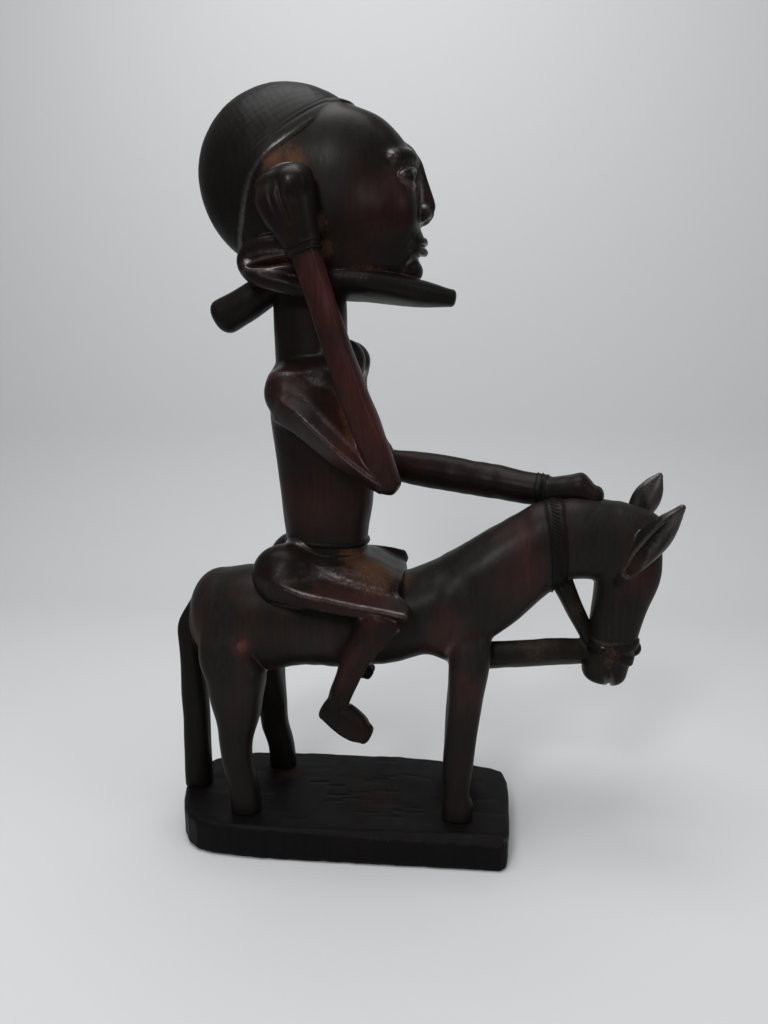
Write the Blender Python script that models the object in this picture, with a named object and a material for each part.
"""A carved wooden rider on a horse, on a slab base, parted into its carved members.

Metres, +Z up. The horse looks along +X and its right side faces -Y. The origin is the
centre of the base's underside. A member is lofted along a spine of stations, each a row of
(x, y, z, half size across, half size the other way). Where two members run into each other,
the lesser is cut back by the greater with a clearance, and a round tenon goes on into a
socket in the greater.
"""

import math
from functools import partial

import bmesh
import bpy
from mathutils import Vector

# Fits, shared by every pair of members
CLEARANCE = 0.0003
TENON_RADIUS = 0.003
SMALL_TENON_RADIUS = 0.0015
SEAT_DEPTH = 0.011

# Base slab
BASE_LENGTH = 0.236
BASE_WIDTH = 0.113
BASE_HEIGHT = 0.023
BASE_EDGE = 0.002
REAR_END_BOW = 0.040
REAR_END_SKEW = 0.15
FRONT_END_BOW = 0.016

# Horse: X from the middle of the base, heights from the top of the base
BARREL_RISE = 0.127
BARREL_REAR = -0.108
BARREL_LENGTH = 0.210
BARREL_HALF_HEIGHT = 0.034
BARREL_HALF_WIDTH = 0.033
RUMP_HALF_HEIGHT = 0.039
FORE_LEG_X = 0.079
FORE_LEG_STANCE = 0.030
FORE_LEG_HALF = 0.010
FORE_LEG_ROOT_HALF = 0.015
FORE_LEG_RAKE = 0.010
HIND_LEG_X = -0.066
HIND_LEG_STANCE = 0.033
HIND_LEG_HALF = 0.0115
HIND_LEG_STRIDE = 0.009
HOCK_SET_BACK = 0.006
HAUNCH_HALF = 0.023
TAIL_HALF = 0.0115
NECK_INSET = 0.044
NECK_REACH = 0.084
NECK_LIFT = 0.048
NECK_ROOT_HALF = 0.034
NECK_HALF_HEIGHT = 0.0260
NECK_HALF_WIDTH = 0.020
JOWL_LENGTH = 0.068
JOWL_HALF_HEIGHT = 0.031
FACE_DROP = 0.098
FACE_HALF_DEPTH = 0.021
FACE_HALF_WIDTH = 0.017
MUZZLE_HALF = 0.0150
RIGHT_EAR_LENGTH = 0.056
LEFT_EAR_LENGTH = 0.038
HORSE_EAR_HALF = 0.0075
BAND_PROUD = 0.0028
COLLAR_WIDTH = 0.011
NOSEBAND_WIDTH = 0.009
STRAP_HALF = 0.0075
REIN_HALF = 0.0080

# Rider: X from the seat, heights from the top of the horse's back
SEAT_X = -0.012
HIP_HALF_LENGTH = 0.033
HIP_HALF_WIDTH = 0.034
WAIST_RISE = 0.021
TORSO_HEIGHT = 0.132
WAIST_HALF_DEPTH = 0.0275
CHEST_HALF_DEPTH = 0.0325
WAIST_HALF_WIDTH = 0.025
CHEST_HALF_WIDTH = 0.034
BELT_HEIGHT = 0.008
THIGH_HALF = 0.0135
KNEE_HALF = 0.0095
RIGHT_KNEE_REACH = 0.054
LEFT_KNEE_REACH = 0.045
KNEE_SPREAD = 0.047
RIGHT_KNEE_DROP = 0.016
LEFT_KNEE_DROP = 0.005
SHIN_HALF = 0.0115
ANKLE_HALF = 0.0078
ANKLE_REACH = 0.016
FOOT_DROP = 0.082
FOOT_LENGTH = 0.034
FOOT_HALF = 0.0080
THROAT_LENGTH = 0.036
THROAT_HALF_DEPTH = 0.024
THROAT_HALF_WIDTH = 0.021
THROAT_SET_BACK = 0.009
HEAD_HEIGHT = 0.114
HEAD_HALF_DEPTH = 0.054
HEAD_HALF_WIDTH = 0.036
HEAD_FORWARD = 0.010
NOSE_PROUD = 0.013
NOSE_HALF_WIDTH = 0.0085
LIP_PROUD = 0.007
LIP_HALF_WIDTH = 0.012
LIP_HALF_HEIGHT = 0.005
HAIR_HALF_LENGTH = 0.0575
HAIR_HALF_WIDTH = 0.0375
HAIR_DEPTH = 0.0620
HAIRLINE_SLOPE = 56.3
QUEUE_LENGTH = 0.054
QUEUE_HALF = 0.0125
BEARD_LENGTH = 0.069
BEARD_HALF_HEIGHT = 0.0090
BEARD_HALF_WIDTH = 0.025
EAR_HALF_LENGTH = 0.016
EAR_HALF_HEIGHT = 0.012
EAR_THICKNESS = 0.012
SHOULDER_RISE = 0.107
SHOULDER_HALF = 0.016
ARM_HALF = 0.0115
ELBOW_REACH = 0.060
ELBOW_DROP = 0.058
ARM_SPREAD = 0.047
FOREARM_HALF = 0.0100
LEFT_FOREARM_HALF = 0.0125
BRACELET_WIDTH = 0.006
HAND_LENGTH = 0.040
HAND_HALF = 0.0170

# Finishes: linear colour, roughness
BLACK_STAIN = ((0.012, 0.010, 0.010), 0.42)
BROWN_STAIN = ((0.026, 0.015, 0.012), 0.36)
RED_STAIN = ((0.036, 0.013, 0.011), 0.32)

AXIS_X = Vector((1, 0, 0))
AXIS_Y = Vector((0, 1, 0))
AXIS_Z = Vector((0, 0, 1))
SIDES = {"right": -1, "left": 1}
members = {}


# Modelling tools


def wood(name, finish):
    """A stained wood finish for one member."""
    colour, roughness = finish
    material = bpy.data.materials.new(name)
    material.use_nodes = True
    shader = material.node_tree.nodes["Principled BSDF"]
    shader.inputs["Base Color"].default_value = (*colour, 1)
    shader.inputs["Roughness"].default_value = roughness
    shader.inputs["Metallic"].default_value = 0
    return material


def smooth_run(stations, count):
    """The stations, resampled by a Catmull-Rom curve that passes through each of them."""
    ends = [stations[0]] + list(stations) + [stations[-1]]
    spans = len(stations) - 1
    run = []
    for step in range(count):
        place = spans * step / (count - 1)
        span = min(int(place), spans - 1)
        t = place - span
        row = []
        for before, start, end, after in zip(*ends[span : span + 4]):
            bend = 2 * before - 5 * start + 4 * end - after
            twist = 3 * start - before - 3 * end + after
            row.append(start + 0.5 * t * (end - before + t * (bend + t * twist)))
        run.append(row)
    return run


def loft(
    stations, grow=0.0, across=AXIS_Y, along=None, sides=10, rings=7, domes=(0, 0), square=2.0, steps=3
):
    """A closed tube through the stations, with sections square to the spine or to along.

    domes are the depths of the rounded ends, made in steps, and a depth of 0 leaves an end
    flat; square above 2 makes the section boxier. grow swells the whole tube, for the cutter
    that gives a neighbour its clearance.
    """
    run = smooth_run(stations, rings)
    centres = [Vector(row[:3]) for row in run]
    halves = [[half + grow for half in row[3:]] for row in run]
    shape = bmesh.new()
    loops = []

    def heading(start, end):
        return (centres[end] - centres[start]).normalized() if along is None else along

    def add_loop(centre, tangent, half_across, half_up):
        side = (across - tangent * across.dot(tangent)).normalized()
        up = tangent.cross(side)
        loop = []
        for step in range(sides):
            angle = 2 * math.pi * (step + 0.5) / sides
            c, s = math.cos(angle), math.sin(angle)
            u = math.copysign(abs(c) ** (2 / square), c) * half_across
            v = math.copysign(abs(s) ** (2 / square), s) * half_up
            loop.append(shape.verts.new(centre + side * u + up * v))
        loops.append(loop)

    def add_end(index, outward, depth, order):
        half_across, half_up = halves[index]
        tangent = outward * order
        if depth == 0:
            add_loop(centres[index] + outward * grow, tangent, half_across, half_up)
            return
        for step in list(range(steps + 1))[::order]:
            angle = math.radians(80) * step / steps
            out = outward * (depth + grow) * math.sin(angle)
            share = math.cos(angle)
            add_loop(centres[index] + out, tangent, half_across * share, half_up * share)

    add_end(0, -heading(0, 1), domes[0], -1)
    for index in range(1, rings - 1):
        add_loop(centres[index], heading(index - 1, index + 1), *halves[index])
    add_end(rings - 1, heading(rings - 2, rings - 1), domes[1], 1)

    for first, second in zip(loops, loops[1:]):
        for step in range(sides):
            after = (step + 1) % sides
            shape.faces.new((first[step], first[after], second[after], second[step]))
    shape.faces.new(loops[0])
    shape.faces.new(loops[-1])
    bmesh.ops.triangulate(shape, faces=shape.faces)
    bmesh.ops.recalc_face_normals(shape, faces=shape.faces)
    return shape


def add_object(name, shape, parent):
    mesh = bpy.data.meshes.new(name)
    shape.to_mesh(mesh)
    shape.free()
    mesh.shade_smooth()
    mesh.set_sharp_from_angle(angle=math.radians(40))
    item = bpy.data.objects.new(name, mesh)
    bpy.context.scene.collection.objects.link(item)
    item.parent = parent
    return item


def add_helper(name, shape, parent):
    item = add_object(name, shape, parent)
    item.hide_render = True
    item.display_type = "WIRE"
    return item


def add_boolean(item, operation, other):
    modifier = item.modifiers.new(f"{operation.lower()} {other.name}", "BOOLEAN")
    modifier.operation = operation
    modifier.object = other
    modifier.solver = "EXACT"


def corners(item):
    """Lowest and highest corner of an object's own mesh, in the figure's frame."""
    points = [item.parent.location + vertex.co for vertex in item.data.vertices]
    low = [min(point[axis] for point in points) for axis in range(3)]
    high = [max(point[axis] for point in points) for axis in range(3)]
    return low, high


def boxes_meet(first, second):
    (low_a, high_a), (low_b, high_b) = corners(first), corners(second)
    return all(low_a[axis] < high_b[axis] and low_b[axis] < high_a[axis] for axis in range(3))


def member(name, parent, finish, forms, stations=()):
    """A member made of one or more forms, cut back by the members made before it."""
    item = add_object(name, forms[0](), parent)
    item.data.materials.append(wood(name, finish))
    for number, form in enumerate(forms[1:], 1):
        add_boolean(item, "UNION", add_helper(f"{name}_form_{number}", form(), parent))
    cutters = []
    for number, form in enumerate(forms):
        cutters.append(add_helper(f"{name}_cutter_{number}", form(grow=CLEARANCE), parent))
    for other in reversed(list(members.values())):
        for cutter in other["cutters"]:
            if any(boxes_meet(cutter, mine) for mine in cutters):
                add_boolean(item, "DIFFERENCE", cutter)
    members[name] = {"item": item, "cutters": cutters, "stations": stations}


def tube_member(name, parent, finish, stations, **shape):
    member(name, parent, finish, [partial(loft, stations, **shape)], stations)


def tenon(name, hosts, tip=False, radius=TENON_RADIUS, share=0.4, root=None):
    """A round tenon from a member's root, or the end of its spine, in its hosts to a share of the spine."""
    item = members[name]["item"]
    points = [Vector(row[:3]) for row in smooth_run(members[name]["stations"], 101)]
    if tip:
        points.reverse()
    start, end = root or points[0], points[round(100 * share)]
    across = AXIS_X if abs((end - start).normalized().dot(AXIS_Y)) > 0.7 else AXIS_Y
    rows = [[*point, radius, radius] for point in (start, end)]
    peg = partial(loft, rows, across=across, sides=8, rings=2)
    add_boolean(item, "UNION", add_helper(f"{name}_tenon_in_{hosts[0]}", peg(), item.parent))
    socket = add_helper(f"{name}_socket_in_{hosts[0]}", peg(grow=CLEARANCE), item.parent)
    for host in hosts:
        add_boolean(members[host]["item"], "DIFFERENCE", socket)


def band(stations, share, width, proud):
    """Stations of a band round a tube, at a share of the tube's stations."""
    run = smooth_run(stations, 101)
    row = run[round(100 * share)]
    along = Vector(run[round(100 * share) + 1][:3]) - Vector(run[round(100 * share) - 1][:3])
    offset = along.normalized() * width / 2
    halves = [half + proud for half in row[3:]]
    return [[*(Vector(row[:3]) - offset), *halves], [*(Vector(row[:3]) + offset), *halves]]


# Start from an empty scene

for old in list(bpy.data.objects):
    bpy.data.objects.remove(old)


def add_empty(name, parent, location):
    empty = bpy.data.objects.new(name, None)
    bpy.context.scene.collection.objects.link(empty)
    empty.parent = parent
    empty.location = location
    return empty


back_height = BASE_HEIGHT + BARREL_RISE + BARREL_HALF_HEIGHT
figure = add_empty("figure", None, (0, 0, 0))
horse = add_empty("horse", figure, (0, 0, BASE_HEIGHT))
rider = add_empty("rider", figure, (SEAT_X, 0, back_height))


# Base slab: the rear end is bowed and skewed, the front end nearly straight


def slab(grow=0.0):
    shape = bmesh.new()
    half_width = BASE_WIDTH / 2 + grow
    outline = []
    for sign, bow, skew, square in ((1, FRONT_END_BOW, 0, 3.2), (-1, REAR_END_BOW, REAR_END_SKEW, 2.2)):
        shoulder = BASE_LENGTH / 2 - bow
        for step in range(11):
            angle = math.pi * (step / 10 - 0.5)
            c, s = math.cos(angle), math.sin(angle)
            x = shoulder + (bow + grow) * abs(c) ** (2 / square)
            y = sign * math.copysign(abs(s) ** (2 / square), s) * half_width
            outline.append((sign * x - skew * y, y, -grow))
    bottom = shape.faces.new([shape.verts.new(point) for point in outline])
    risen = bmesh.ops.extrude_face_region(shape, geom=[bottom])["geom"]
    top_corners = [item for item in risen if isinstance(item, bmesh.types.BMVert)]
    bmesh.ops.translate(shape, verts=top_corners, vec=(0, 0, BASE_HEIGHT + 2 * grow))
    top_edges = [edge for edge in shape.edges if all(v in top_corners for v in edge.verts)]
    bmesh.ops.bevel(shape, geom=top_edges, offset=BASE_EDGE, segments=2, profile=0.5, affect="EDGES")
    bmesh.ops.recalc_face_normals(shape, faces=shape.faces)
    return shape


member("base", figure, BLACK_STAIN, [slab])


# Horse's trunk, legs and tail

barrel = []
for share, width, height in (
    (0.13, 0.90, RUMP_HALF_HEIGHT * 0.94),
    (0.23, 1.02, RUMP_HALF_HEIGHT),
    (0.36, 0.95, BARREL_HALF_HEIGHT),
    (0.52, 1.00, BARREL_HALF_HEIGHT * 1.03),
    (0.68, 0.96, BARREL_HALF_HEIGHT * 0.98),
    (0.82, 0.88, BARREL_HALF_HEIGHT * 0.92),
    (0.90, 0.78, BARREL_HALF_HEIGHT * 0.80),
):
    x = BARREL_REAR + BARREL_LENGTH * share
    barrel.append((x, 0, BARREL_RISE, BARREL_HALF_WIDTH * width, height))
chest_x = BARREL_REAR + BARREL_LENGTH
barrel_domes = (BARREL_LENGTH * 0.13, BARREL_LENGTH * 0.10)
tube_member("horse_body", horse, BROWN_STAIN, barrel, sides=16, rings=11, domes=barrel_domes)

neck_root = Vector((chest_x - NECK_INSET, 0, BARREL_RISE + BARREL_HALF_HEIGHT * 0.24))
neck = []
for reach, lift, half_width, half_height in (
    (0.00, 0.00, NECK_HALF_WIDTH * 1.30, NECK_ROOT_HALF),
    (0.33, 0.40, NECK_HALF_WIDTH * 1.20, NECK_ROOT_HALF * 0.94),
    (0.67, 0.80, NECK_HALF_WIDTH, NECK_HALF_HEIGHT * 1.17),
    (1.00, 1.00, NECK_HALF_WIDTH * 0.88, NECK_HALF_HEIGHT),
):
    place = neck_root + Vector((NECK_REACH * reach, 0, NECK_LIFT * lift))
    neck.append((*place, half_width, half_height))
tube_member("horse_neck", horse, BROWN_STAIN, neck, sides=14, rings=8)
tenon("horse_neck", ["horse_body"], share=0.5)

for side, sign in SIDES.items():
    fore_leg = []
    for rake, spread, height, half in (
        (0.8, 0.52, BARREL_RISE, FORE_LEG_ROOT_HALF * 0.70),
        (0.8, 0.87, BARREL_RISE * 0.85, FORE_LEG_ROOT_HALF * 0.92),
        (0.5, 0.97, BARREL_RISE * 0.66, FORE_LEG_HALF * 1.10),
        (0.1, 1.00, BARREL_RISE * 0.31, FORE_LEG_HALF),
        (0.0, 1.00, 0, FORE_LEG_HALF),
        (0.0, 1.00, -SEAT_DEPTH, FORE_LEG_HALF),
    ):
        place = (FORE_LEG_X + FORE_LEG_RAKE * rake, sign * FORE_LEG_STANCE * spread, height)
        fore_leg.append((*place, half * 0.9, half))
    tube_member(f"fore_leg_{side}", horse, RED_STAIN, fore_leg, rings=8)
    tenon(f"fore_leg_{side}", ["horse_body"])
    tenon(f"fore_leg_{side}", ["base"], tip=True)

for side, sign in SIDES.items():
    stride = HIND_LEG_STRIDE if side == "left" else 0
    hind_leg = []
    for back, ahead, spread, height, half in (
        (1.0, 0.0, 0.55, BARREL_RISE * 0.90, HAUNCH_HALF * 0.80),
        (0.5, 0.2, 0.76, BARREL_RISE * 0.71, HAUNCH_HALF * 0.96),
        (0.7, 0.5, 0.88, BARREL_RISE * 0.53, HIND_LEG_HALF * 1.40),
        (1.0, 1.0, 0.95, BARREL_RISE * 0.33, HIND_LEG_HALF),
        (0.3, 1.0, 1.00, BARREL_RISE * 0.14, HIND_LEG_HALF),
        (0.0, 1.0, 1.00, 0, HIND_LEG_HALF),
        (0.0, 1.0, 1.00, -SEAT_DEPTH, HIND_LEG_HALF),
    ):
        x = HIND_LEG_X - HOCK_SET_BACK * back + stride * ahead
        hind_leg.append((x, sign * HIND_LEG_STANCE * spread, height, half * 0.75, half))
    tube_member(f"hind_leg_{side}", horse, BROWN_STAIN, hind_leg, rings=9)
    tenon(f"hind_leg_{side}", ["horse_body"])
    tenon(f"hind_leg_{side}", ["base"], tip=True)

tail_x = BARREL_REAR + TAIL_HALF * 0.09
tail = []
for back, height, half in (
    (-0.70, BARREL_RISE * 1.08, 0.70),
    (0.35, BARREL_RISE * 0.98, 0.60),
    (0.26, BARREL_RISE * 0.82, 0.74),
    (0.00, BARREL_RISE * 0.50, 1.00),
    (0.00, 0, 1.00),
    (0.00, -SEAT_DEPTH, 1.00),
):
    tail.append((tail_x - TAIL_HALF * back, 0, height, TAIL_HALF * 0.8, TAIL_HALF * half))
tube_member("tail", horse, BLACK_STAIN, tail, rings=8)
tenon("tail", ["horse_body"], share=0.3)
tenon("tail", ["base"], tip=True)


# Horse's head: a jowl that carries on from the neck, and a face hung from it

poll = neck_root + Vector((NECK_REACH, 0, NECK_LIFT))
jowl = []
for reach, rise, width, height in (
    (-0.18, 0.00, 0.95, 1.00),
    (0.00, 0.00, 0.97, 1.02),
    (0.27, 0.03, 1.05, 1.03),
    (0.58, 0.03, 1.00, 0.92),
):
    place = poll + Vector((JOWL_LENGTH * reach, 0, JOWL_HALF_HEIGHT * rise))
    jowl.append((*place, NECK_HALF_WIDTH * width, JOWL_HALF_HEIGHT * height))
forehead = poll + Vector((JOWL_LENGTH * 0.81, 0, JOWL_HALF_HEIGHT * 0.42))
muzzle = forehead + Vector((-FACE_DROP * 0.19, 0, -FACE_DROP))
face = [
    (*forehead, FACE_HALF_WIDTH * 0.88, FACE_HALF_DEPTH * 0.70),
    (*forehead.lerp(muzzle, 0.26), FACE_HALF_WIDTH, FACE_HALF_DEPTH),
    (*forehead.lerp(muzzle, 0.52), FACE_HALF_WIDTH * 0.92, FACE_HALF_DEPTH * 0.86),
    (*forehead.lerp(muzzle, 0.80), MUZZLE_HALF * 0.92, MUZZLE_HALF * 1.05),
    (*muzzle, MUZZLE_HALF * 0.90, MUZZLE_HALF * 0.98),
]
face_domes = (FACE_HALF_DEPTH * 0.57, MUZZLE_HALF * 0.75)
horse_head_forms = [
    partial(loft, jowl, sides=16, rings=6, domes=(0, JOWL_LENGTH * 0.42), steps=4),
    partial(loft, face, sides=12, rings=8, domes=face_domes),
]
member("horse_head", horse, BROWN_STAIN, horse_head_forms, jowl)
tenon("horse_head", ["horse_neck"])

ear_length = {"right": RIGHT_EAR_LENGTH, "left": LEFT_EAR_LENGTH}
ear_root = {"right": Vector((-0.57, 0, -1.48)), "left": Vector((-0.29, 0, 0.10))}
for side, sign in SIDES.items():
    half = HORSE_EAR_HALF
    root = forehead + ear_root[side] * FACE_HALF_DEPTH + AXIS_Y * sign * FACE_HALF_WIDTH * 0.6
    tip = root + Vector((0.54, sign * 0.28, 0.79)) * ear_length[side]
    ear = [
        (*root, half * 0.5, half * 0.6),
        (*(root.lerp(tip, 0.50) + AXIS_Y * sign * half * 0.4), half * 0.65, half),
        (*tip, half * 0.2, half * 0.3),
    ]
    tube_member(f"horse_ear_{side}", horse, BLACK_STAIN, ear, sides=8, rings=6, domes=(0, half * 0.27))
    tenon(f"horse_ear_{side}", ["horse_head"], radius=SMALL_TENON_RADIUS)


# Bridle: raised bands round the neck and the muzzle, and the two bars between them

collar = band(jowl, 0.35, COLLAR_WIDTH, BAND_PROUD)
tube_member("neck_collar", horse, BLACK_STAIN, collar, sides=18, rings=2)
noseband = band(face, 0.83, NOSEBAND_WIDTH, BAND_PROUD)
tube_member("noseband", horse, BLACK_STAIN, noseband, sides=12, rings=2)

strap_root = poll + Vector((STRAP_HALF * 0.67, 0, -JOWL_HALF_HEIGHT * 0.65))
strap_end = muzzle + Vector((-MUZZLE_HALF * 0.27, 0, MUZZLE_HALF * 1.27))
strap_sag = Vector((-STRAP_HALF * 0.53, 0, -STRAP_HALF * 0.53))
strap = [
    (*strap_root, STRAP_HALF * 1.2, STRAP_HALF),
    (*(strap_root.lerp(strap_end, 0.5) + strap_sag), STRAP_HALF * 1.2, STRAP_HALF),
    (*strap_end, STRAP_HALF * 1.1, STRAP_HALF * 0.9),
]
tube_member("bridle_strap", horse, RED_STAIN, strap, sides=8, rings=5, square=1.6)
tenon("bridle_strap", ["horse_head", "noseband"], tip=True, radius=SMALL_TENON_RADIUS)

rein_root = Vector((chest_x - SEAT_DEPTH * 1.35, 0, BARREL_RISE - BARREL_HALF_HEIGHT * 0.42))
rein_end = muzzle + Vector((0, 0, MUZZLE_HALF * 0.53))
rein = [
    (*rein_root, REIN_HALF, REIN_HALF),
    (*(rein_root.lerp(rein_end, 0.35) + Vector((0, 0, -REIN_HALF * 0.38))), REIN_HALF, REIN_HALF),
    (*rein_end, REIN_HALF, REIN_HALF),
]
tube_member("rein_bar", horse, RED_STAIN, rein, sides=8, rings=5, square=1.6)
tenon("rein_bar", ["horse_body"], radius=SMALL_TENON_RADIUS)
tenon("rein_bar", ["horse_head", "noseband"], tip=True, radius=SMALL_TENON_RADIUS)


# Rider's hips, torso and belt

hips = [
    (0, 0, -BARREL_HALF_HEIGHT * 0.5, HIP_HALF_WIDTH * 0.90, HIP_HALF_LENGTH * 0.90),
    (0, 0, WAIST_RISE * 0.1, HIP_HALF_WIDTH, HIP_HALF_LENGTH),
    (0, 0, WAIST_RISE * 0.7, HIP_HALF_WIDTH * 0.88, HIP_HALF_LENGTH * 0.95),
    (0, 0, WAIST_RISE, WAIST_HALF_WIDTH * 1.07, WAIST_HALF_DEPTH * 1.07),
]
tube_member("rider_hips", rider, BROWN_STAIN, hips, sides=14, rings=6)
tenon("rider_hips", ["horse_body"])

torso_top = WAIST_RISE + TORSO_HEIGHT
torso = [(0, 0, WAIST_RISE * 0.4, WAIST_HALF_WIDTH, WAIST_HALF_DEPTH)]
for rise, back, half_width, half_depth in (
    (0.00, 0.00, WAIST_HALF_WIDTH, WAIST_HALF_DEPTH),
    (0.22, 0.00, WAIST_HALF_WIDTH * 1.12, WAIST_HALF_DEPTH * 1.13),
    (0.42, 0.00, CHEST_HALF_WIDTH * 0.92, CHEST_HALF_DEPTH * 0.98),
    (0.66, 0.09, CHEST_HALF_WIDTH, CHEST_HALF_DEPTH),
    (0.86, 0.12, CHEST_HALF_WIDTH * 1.02, CHEST_HALF_DEPTH * 0.97),
    (1.00, 0.18, CHEST_HALF_WIDTH * 0.85, CHEST_HALF_DEPTH * 0.80),
):
    place = (-CHEST_HALF_DEPTH * back, 0, WAIST_RISE + TORSO_HEIGHT * rise)
    torso.append((*place, half_width, half_depth))
torso_domes = (0, TORSO_HEIGHT * 0.045)
tube_member("rider_torso", rider, BROWN_STAIN, torso, sides=16, rings=10, domes=torso_domes)
tenon("rider_torso", ["rider_hips"])
tube_member("belt", rider, BLACK_STAIN, band(torso, 0.19, BELT_HEIGHT, BAND_PROUD), sides=14, rings=2)


# Rider's head: a hair cap behind a slanting hairline, and the face in front of it

head_base = torso_top + THROAT_LENGTH
slope = math.radians(HAIRLINE_SLOPE)
crownward = Vector((-math.sin(slope), 0, math.cos(slope)))
hair_middle = Vector((HEAD_FORWARD - HEAD_HALF_DEPTH * 0.52, 0, head_base + HEAD_HEIGHT * 0.596))
hair_rim = HAIR_DEPTH * 0.03
hair = []
for reach in (0, hair_rim):
    hair.append((*(hair_middle + crownward * reach), HAIR_HALF_WIDTH, HAIR_HALF_LENGTH))
hair_dome = partial(loft, hair, sides=18, rings=2, domes=(0, HAIR_DEPTH - hair_rim), steps=7)
hair_spine = []
for reach in (-SEAT_DEPTH, SEAT_DEPTH * 2):
    hair_spine.append((*(hair_middle + crownward * reach), 0, 0))
member("hair_cap", rider, BLACK_STAIN, [hair_dome], hair_spine)

skull = []
for height, shift, depth, width in (
    (0.00, 0.07, 0.90, 0.72),
    (0.13, -0.02, 1.00, 0.88),
    (0.31, -0.02, 1.02, 0.97),
    (0.50, 0.00, 1.01, 1.00),
    (0.68, -0.04, 0.94, 0.97),
    (0.84, -0.14, 0.76, 0.84),
    (0.94, -0.24, 0.48, 0.60),
):
    place = (HEAD_FORWARD + HEAD_HALF_DEPTH * shift, 0, head_base + HEAD_HEIGHT * height)
    skull.append((*place, HEAD_HALF_WIDTH * width, HEAD_HALF_DEPTH * depth))

face_third = HEAD_HEIGHT / 3
face_x = HEAD_FORWARD + HEAD_HALF_DEPTH
nose = []
for out, height, width, depth in (
    (-0.46, 2.00, 0.47, 0.31),
    (0.15, 1.55, 0.65, 0.46),
    (0.45, 1.16, 1.00, 0.55),
):
    place = (face_x + NOSE_PROUD * out, 0, head_base + face_third * height)
    nose.append((*place, NOSE_HALF_WIDTH * width, NOSE_PROUD * depth))
mouth_z = head_base + face_third * 0.67
lips = [(face_x - LIP_PROUD, 0, mouth_z, LIP_HALF_WIDTH, LIP_HALF_HEIGHT)]
lips.append((face_x, 0, mouth_z, LIP_HALF_WIDTH * 0.85, LIP_HALF_HEIGHT))
rider_head_forms = [
    partial(loft, skull, along=AXIS_Z, sides=16, rings=10, domes=(0, HEAD_HEIGHT * 0.05), square=2.5),
    partial(loft, nose, sides=10, rings=5, domes=(0, NOSE_PROUD * 0.3)),
    partial(loft, lips, sides=10, rings=2, domes=(0, LIP_PROUD)),
]
member("rider_head", rider, BROWN_STAIN, rider_head_forms, skull)
tenon("hair_cap", ["rider_head"], share=0.9)

throat = []
for height in (torso_top - SEAT_DEPTH, torso_top + THROAT_LENGTH * 0.5, head_base + SEAT_DEPTH):
    throat.append((-THROAT_SET_BACK, 0, height, THROAT_HALF_WIDTH, THROAT_HALF_DEPTH))
tube_member("rider_neck", rider, BROWN_STAIN, throat, sides=12, rings=4)
tenon("rider_neck", ["rider_torso"])
tenon("rider_neck", ["rider_head"], tip=True)

queue_root = Vector((HEAD_FORWARD - HEAD_HALF_DEPTH * 0.74, 0, head_base + HEAD_HEIGHT * 0.05))
queue_tip = QUEUE_HALF * 0.72
queue_end = queue_root + Vector((-0.86, 0, -0.51)) * (QUEUE_LENGTH - queue_tip)
queue = [
    (*queue_root, QUEUE_HALF * 0.8, QUEUE_HALF * 0.8),
    (*queue_root.lerp(queue_end, 0.6), QUEUE_HALF * 0.9, QUEUE_HALF * 0.9),
    (*queue_end, QUEUE_HALF, QUEUE_HALF),
]
tube_member("hair_queue", rider, BLACK_STAIN, queue, rings=5, domes=(0, queue_tip))
tenon("hair_queue", ["rider_head"], share=0.6)

throat_front = THROAT_HALF_DEPTH - THROAT_SET_BACK + CLEARANCE * 2
beard_root = Vector((throat_front, 0, head_base + HEAD_HEIGHT * 0.05))
beard_end = beard_root + Vector((BEARD_LENGTH, 0, -BEARD_LENGTH * 0.15))
beard = [
    (*beard_root, BEARD_HALF_WIDTH, BEARD_HALF_HEIGHT),
    (*beard_root.lerp(beard_end, 0.55), BEARD_HALF_WIDTH * 0.82, BEARD_HALF_HEIGHT),
    (*beard_end, BEARD_HALF_WIDTH * 0.32, BEARD_HALF_HEIGHT * 0.4),
]
tube_member("beard", rider, BLACK_STAIN, beard, rings=6, domes=(0, BEARD_HALF_HEIGHT * 0.33))
tenon("beard", ["rider_head"], share=0.85)

for side, sign in SIDES.items():
    seat = Vector((HEAD_FORWARD - HEAD_HALF_DEPTH * 0.78, 0, head_base + HEAD_HEIGHT * 0.12))
    seat.y = sign * HEAD_HALF_WIDTH * 0.62
    ear = []
    for out in (0, EAR_THICKNESS * 0.67):
        ear.append((*(seat + AXIS_Y * sign * out), EAR_HALF_LENGTH, EAR_HALF_HEIGHT))
    ear_domes = (0, EAR_THICKNESS * 0.33)
    tube_member(f"rider_ear_{side}", rider, BROWN_STAIN, ear, across=AXIS_X, rings=2, domes=ear_domes)


# Rider's legs, bent back along the horse's sides

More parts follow.
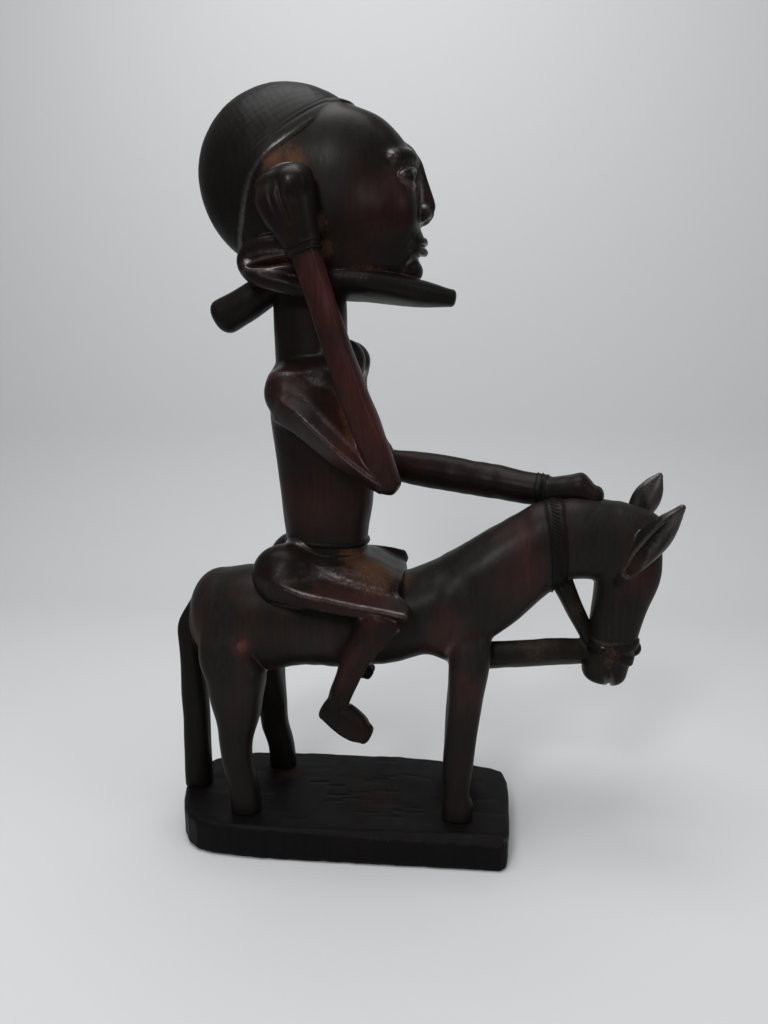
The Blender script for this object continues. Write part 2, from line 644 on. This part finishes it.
knee_reach = {"right": RIGHT_KNEE_REACH, "left": LEFT_KNEE_REACH}
knee_drop = {"right": RIGHT_KNEE_DROP, "left": LEFT_KNEE_DROP}
for side, sign in SIDES.items():
    knee = Vector((knee_reach[side], sign * KNEE_SPREAD, -knee_drop[side]))
    hip = Vector((-HIP_HALF_LENGTH * 0.7, sign * HIP_HALF_WIDTH * 0.68, WAIST_RISE * 0.1))
    middle = hip.lerp(knee, 0.5) + AXIS_Y * sign * THIGH_HALF * 0.37
    thigh = [
        (*hip, THIGH_HALF * 1.1, THIGH_HALF * 1.25),
        (*middle, THIGH_HALF, THIGH_HALF * 1.1),
        (*knee, KNEE_HALF, KNEE_HALF),
    ]
    thigh_domes = (THIGH_HALF * 1.2, KNEE_HALF * 0.85)
    tube_member(f"thigh_{side}", rider, RED_STAIN, thigh, rings=6, domes=thigh_domes)
    peg_root = Vector((0, sign * HIP_HALF_WIDTH * 0.4, WAIST_RISE * 0.5))
    tenon(f"thigh_{side}", ["rider_hips"], share=0.45, root=peg_root)

    ankle = Vector((ANKLE_REACH, sign * KNEE_SPREAD, -FOOT_DROP))
    calf = knee.lerp(ankle, 0.35) + Vector((-SHIN_HALF * 0.17, sign * SHIN_HALF * 0.17, 0))
    shin = [
        (*knee, KNEE_HALF * 0.9, KNEE_HALF),
        (*calf, SHIN_HALF * 0.7, SHIN_HALF),
        (*knee.lerp(ankle, 0.75), ANKLE_HALF * 0.95, ANKLE_HALF * 1.1),
        (*ankle, ANKLE_HALF * 0.9, ANKLE_HALF),
    ]
    tube_member(f"shin_{side}", rider, RED_STAIN, shin)
    tenon(f"shin_{side}", [f"thigh_{side}"], radius=SMALL_TENON_RADIUS)

    heel = ankle - AXIS_X * FOOT_LENGTH * 0.24
    toes = heel + Vector((0.87, sign * 0.04, -0.49)) * FOOT_LENGTH * 0.7
    foot = [
        (*heel, FOOT_HALF, FOOT_HALF),
        (*heel.lerp(toes, 0.5), FOOT_HALF * 1.05, FOOT_HALF * 1.1),
        (*toes, FOOT_HALF * 1.1, FOOT_HALF * 0.8),
    ]
    tube_member(f"foot_{side}", rider, BROWN_STAIN, foot, rings=5, domes=(FOOT_HALF * 0.62, FOOT_HALF * 0.62))


# Rider's arms: the right hand at the head, the left one on the horse's poll

head_side = Vector((HEAD_FORWARD - HEAD_HALF_DEPTH * 0.22, -HEAD_HALF_WIDTH, head_base + HEAD_HEIGHT * 0.17))
poll_top = poll + horse.location - rider.location + Vector((0, 0, JOWL_HALF_HEIGHT))
wrist = {
    "right": head_side - AXIS_Y * HAND_HALF * 0.7,
    "left": poll_top + Vector((-HAND_HALF * 0.12, HAND_HALF * 0.7, HAND_HALF * 0.12)),
}
fingers = {
    "right": wrist["right"] + Vector((-0.33, 0.08, 0.94)) * HAND_LENGTH,
    "left": wrist["left"] + Vector((0.62, -0.16, 0.04)) * HAND_LENGTH,
}
forearm_half = {"right": FOREARM_HALF, "left": LEFT_FOREARM_HALF}
bracelet_place = {"right": 0.94, "left": 0.86}
for side, sign in SIDES.items():
    half = forearm_half[side]
    shoulder = Vector((-CHEST_HALF_DEPTH * 0.5, sign * CHEST_HALF_WIDTH * 0.75, WAIST_RISE + SHOULDER_RISE))
    elbow = Vector((shoulder.x + ELBOW_REACH, sign * ARM_SPREAD, shoulder.z - ELBOW_DROP))
    forearm = [
        (*elbow, half * 0.92, half * 0.95),
        (*elbow.lerp(wrist[side], 0.35), half, half * 1.05),
        (*elbow.lerp(wrist[side], 0.65), half * 0.95, half),
        (*wrist[side], half * 0.88, half * 0.92),
    ]
    tube_member(f"forearm_{side}", rider, RED_STAIN, forearm, domes=(half * 0.7, 0))

    ball = shoulder + Vector((0.3, sign * 0.8, -0.6)) * SHOULDER_HALF
    upper_arm = [
        (*shoulder, SHOULDER_HALF * 0.85, SHOULDER_HALF),
        (*ball, SHOULDER_HALF * 0.9, SHOULDER_HALF),
        (*(shoulder.lerp(elbow, 0.5) + AXIS_Y * sign * ARM_HALF * 0.6), ARM_HALF * 0.92, ARM_HALF),
        (*(elbow + Vector((-0.6, 0, 0.6)) * FOREARM_HALF), ARM_HALF * 0.80, ARM_HALF * 0.85),
    ]
    tube_member(f"upper_arm_{side}", rider, RED_STAIN, upper_arm)
    tenon(f"upper_arm_{side}", ["rider_torso"])
    tenon(f"upper_arm_{side}", [f"forearm_{side}"], tip=True, radius=SMALL_TENON_RADIUS)

    hand = [
        (*wrist[side], half * 0.85, half * 0.90),
        (*wrist[side].lerp(fingers[side], 0.5), HAND_HALF * 0.65, HAND_HALF),
        (*fingers[side], HAND_HALF * 0.6, HAND_HALF * 0.85),
    ]
    tube_member(f"hand_{side}", rider, BROWN_STAIN, hand, rings=6, domes=(0, HAND_HALF * 0.41))
    tenon(f"hand_{side}", [f"forearm_{side}"], radius=SMALL_TENON_RADIUS)
    bracelet = band(forearm, bracelet_place[side], BRACELET_WIDTH, BAND_PROUD * 0.6)
    tube_member(f"bracelet_{side}", rider, BLACK_STAIN, bracelet, sides=12, rings=2)
